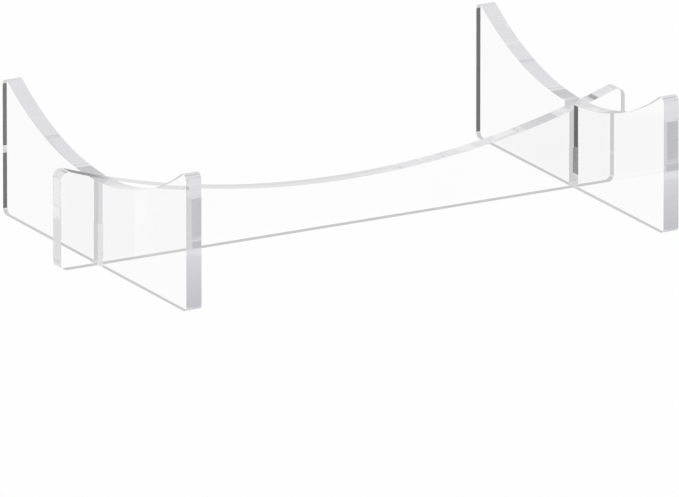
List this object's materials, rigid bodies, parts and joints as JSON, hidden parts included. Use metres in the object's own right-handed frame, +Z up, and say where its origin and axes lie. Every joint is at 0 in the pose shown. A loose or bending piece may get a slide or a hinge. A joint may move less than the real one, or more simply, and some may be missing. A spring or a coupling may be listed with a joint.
{
  "type": "football display stand",
  "caption": "Slot-together display stand for a football: a long rail with a concave top edge crosses two cradles with horned concave edges, all of clear acrylic sheet.",
  "frame": {"origin": "middle of the stand's footprint, on the surface that it stands on", "axes": "+Z up, +X along the rail towards the right cradle, +Y across the rail towards the back"},
  "size_m": [0.15, 0.089, 0.033],
  "materials": {
    "clear_acrylic": "colourless cast acrylic, polished on its faces and on its cut edges"
  },
  "bodies": {
    "left_cradle": {"left_cradle": "clear_acrylic"},
    "rail": {"rail": "clear_acrylic"},
    "right_cradle": {"right_cradle": "clear_acrylic"}
  },
  "joints": [
    {"name": "rail_lift", "type": "slide", "parent": "left_cradle", "child": "rail", "axis": [0, 0, 1], "range_m": [0, 0.012]},
    {"name": "right_cradle_release", "type": "slide", "parent": "rail", "child": "right_cradle", "axis": [0, 0, -1], "range_m": [0, 0.012]}
  ],
  "couplings": [
    {"joint": "right_cradle_release", "follows": "rail_lift", "ratio": 1}
  ]
}
